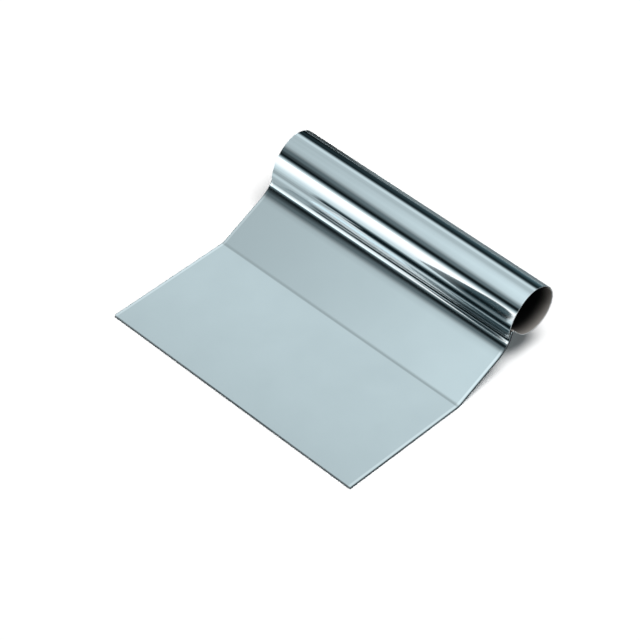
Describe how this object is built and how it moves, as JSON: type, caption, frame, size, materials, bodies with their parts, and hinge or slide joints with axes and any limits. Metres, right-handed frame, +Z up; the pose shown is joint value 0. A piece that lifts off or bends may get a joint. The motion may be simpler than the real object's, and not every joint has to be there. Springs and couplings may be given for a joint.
{
  "type": "icing smoother",
  "caption": "Bent sheet-steel blade for smoothing icing and portioning dough, gripped along its rear edge by an open-ended handle rolled from thinner polished sheet.",
  "frame": {"origin": "on the surface that the tool rests on, under the middle of its outline: the bottom centre of its box", "axes": "+X along the handle and the working edge, +Y from the working edge back to the handle, +Z up with the front panel lying flat"},
  "size_m": [0.1524, 0.1308, 0.0395],
  "materials": {
    "blade_steel": "finely polished stainless sheet, glossy at a low angle, with a faint even grain",
    "handle_steel": "mirror-polished stainless sheet",
    "weld_steel": "bare weld nugget, dull and slightly heat-tinted"
  },
  "bodies": {
    "root": {"blade": "blade_steel", "handle": "handle_steel", "spot_welds": "weld_steel"}
  },
  "joints": []
}
